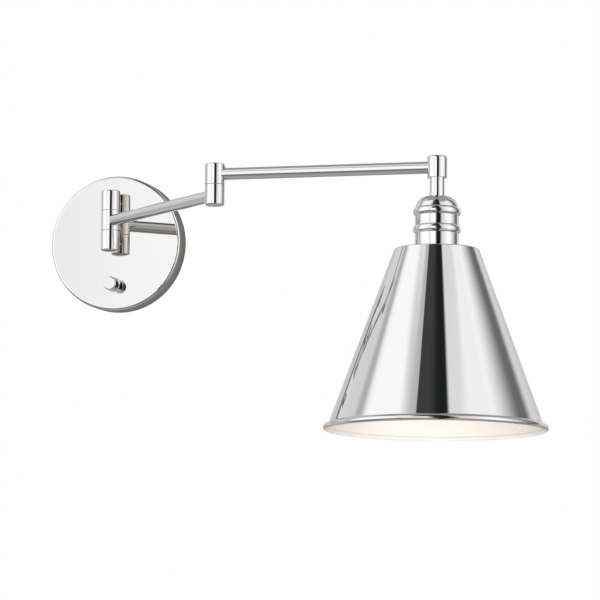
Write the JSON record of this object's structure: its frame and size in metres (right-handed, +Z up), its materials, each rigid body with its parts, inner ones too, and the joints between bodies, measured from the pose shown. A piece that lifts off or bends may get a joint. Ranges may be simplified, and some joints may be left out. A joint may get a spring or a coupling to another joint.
{
  "type": "swing arm wall sconce",
  "caption": "Double-jointed swing arm wall lamp: round backplate with a turn knob, two folding tubes on stacked barrel hinges and a conical metal shade hanging from a ribbed socket cup.",
  "frame": {"origin": "centre of the backplate's rear rim, on the wall", "axes": "+X to the right of a person who faces the wall, +Y into the wall, +Z up"},
  "size_m": [0.5133, 0.2624, 0.2601],
  "materials": {
    "polished_chrome": "polished, mirror bright",
    "zinc_steel": "zinc plated, satin",
    "steel_screw": "bright steel",
    "green_screw": "green dyed zinc",
    "green_wire": "green insulation",
    "black_cord": "black flexible jacket",
    "white_wire": "white insulation",
    "black_wire": "black insulation",
    "orange_plastic": "moulded",
    "nylon": "plain nylon",
    "black_plastic": "moulded, satin",
    "brass": "plain brass"
  },
  "bodies": {
    "wall_mount": {"backplate": "polished_chrome", "mounting_bar": "zinc_steel", "plate_screw": "steel_screw", "ground_screw": "green_screw", "ground_terminal": "zinc_steel", "ground_lead": "green_wire", "standoff_posts": "polished_chrome", "post_nuts": "zinc_steel", "post_washers": "zinc_steel", "barrel_top": "polished_chrome", "barrel_bottom": "polished_chrome", "barrel_plug": "polished_chrome", "wall_stud": "zinc_steel", "wall_stud_clip": "zinc_steel", "wall_pin": "zinc_steel", "barrel_washers": "nylon", "switch_body": "black_plastic", "switch_ring_nut": "polished_chrome", "feed_cord": "black_cord", "feed_leads": "white_wire", "switch_lead": "black_wire", "wire_connectors": "orange_plastic"},
    "switch_knob": {"switch_shaft": "zinc_steel", "knob": "polished_chrome"},
    "arm_1": {"arm1_hub": "polished_chrome", "arm1_tube": "polished_chrome", "elbow_lower": "polished_chrome", "elbow_plug_bottom": "polished_chrome", "elbow_stud": "zinc_steel", "elbow_stud_clip": "zinc_steel", "elbow_washer": "nylon", "arm1_cord": "black_cord"},
    "arm_2": {"elbow_upper": "polished_chrome", "elbow_plug_top": "polished_chrome", "elbow_set_screw": "steel_screw", "arm2_tube": "polished_chrome", "end_fitting": "polished_chrome", "end_plug": "polished_chrome", "arm2_cord": "black_cord", "nipple": "brass", "nipple_nut": "zinc_steel", "stem": "polished_chrome", "socket_cup": "polished_chrome", "socket_body": "black_plastic", "socket_shell": "brass", "centre_contact": "brass", "shade_ring": "black_plastic", "shade": "polished_chrome"}
  },
  "joints": [
    {"name": "wall_pivot", "type": "hinge", "parent": "wall_mount", "child": "arm_1", "pos_m": [0, -0.034, 0.019], "axis": [0, 0, 1], "range_deg": [-137.2, 42.8]},
    {"name": "elbow_pivot", "type": "hinge", "parent": "arm_1", "child": "arm_2", "pos_m": [0.14528, -0.16853, 0.0285], "axis": [0, 0, 1], "range_deg": [-179.4, 90.6]},
    {"name": "switch_turn", "type": "hinge", "parent": "wall_mount", "child": "switch_knob", "pos_m": [0, -0.019, -0.0395], "axis": [0, 1, 0], "range_deg": [0, 270]}
  ]
}
